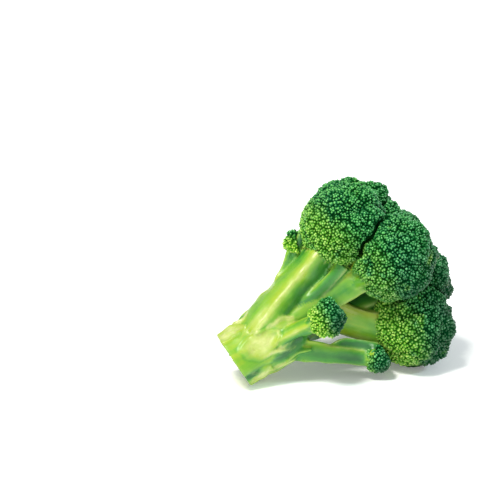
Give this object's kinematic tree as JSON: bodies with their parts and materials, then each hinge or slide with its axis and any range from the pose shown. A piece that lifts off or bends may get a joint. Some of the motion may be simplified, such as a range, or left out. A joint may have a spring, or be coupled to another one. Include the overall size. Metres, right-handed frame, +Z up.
{
  "type": "broccoli head",
  "caption": "Fresh head of broccoli lying on its side, with a cut stalk that forks into branches, each ending in a dome of small green flower buds.",
  "frame": {"origin": "middle of the bounding box, on the surface that the head lies on", "axes": "+Z up from that surface; the cut end of the stalk points towards -X and the crown of florets towards +X; -Y is the side that the picture shows"},
  "size_m": [0.1449, 0.1324, 0.1167],
  "materials": {
    "stalk": "smooth, moist pale green skin with a slight gloss",
    "buds": "matt dark green flower buds, packed tight"
  },
  "bodies": {
    "root": {"stalk": "stalk", "floret_top": "buds", "floret_near": "buds", "floret_low": "buds", "floret_nose": "buds", "floret_middle": "buds", "floret_back_low": "buds", "floret_back": "buds", "floret_back_top": "buds", "floret_small_left": "buds", "floret_small_near": "buds", "floret_small_low": "buds", "floret_small_back": "buds", "floret_small_top": "buds"}
  },
  "joints": []
}
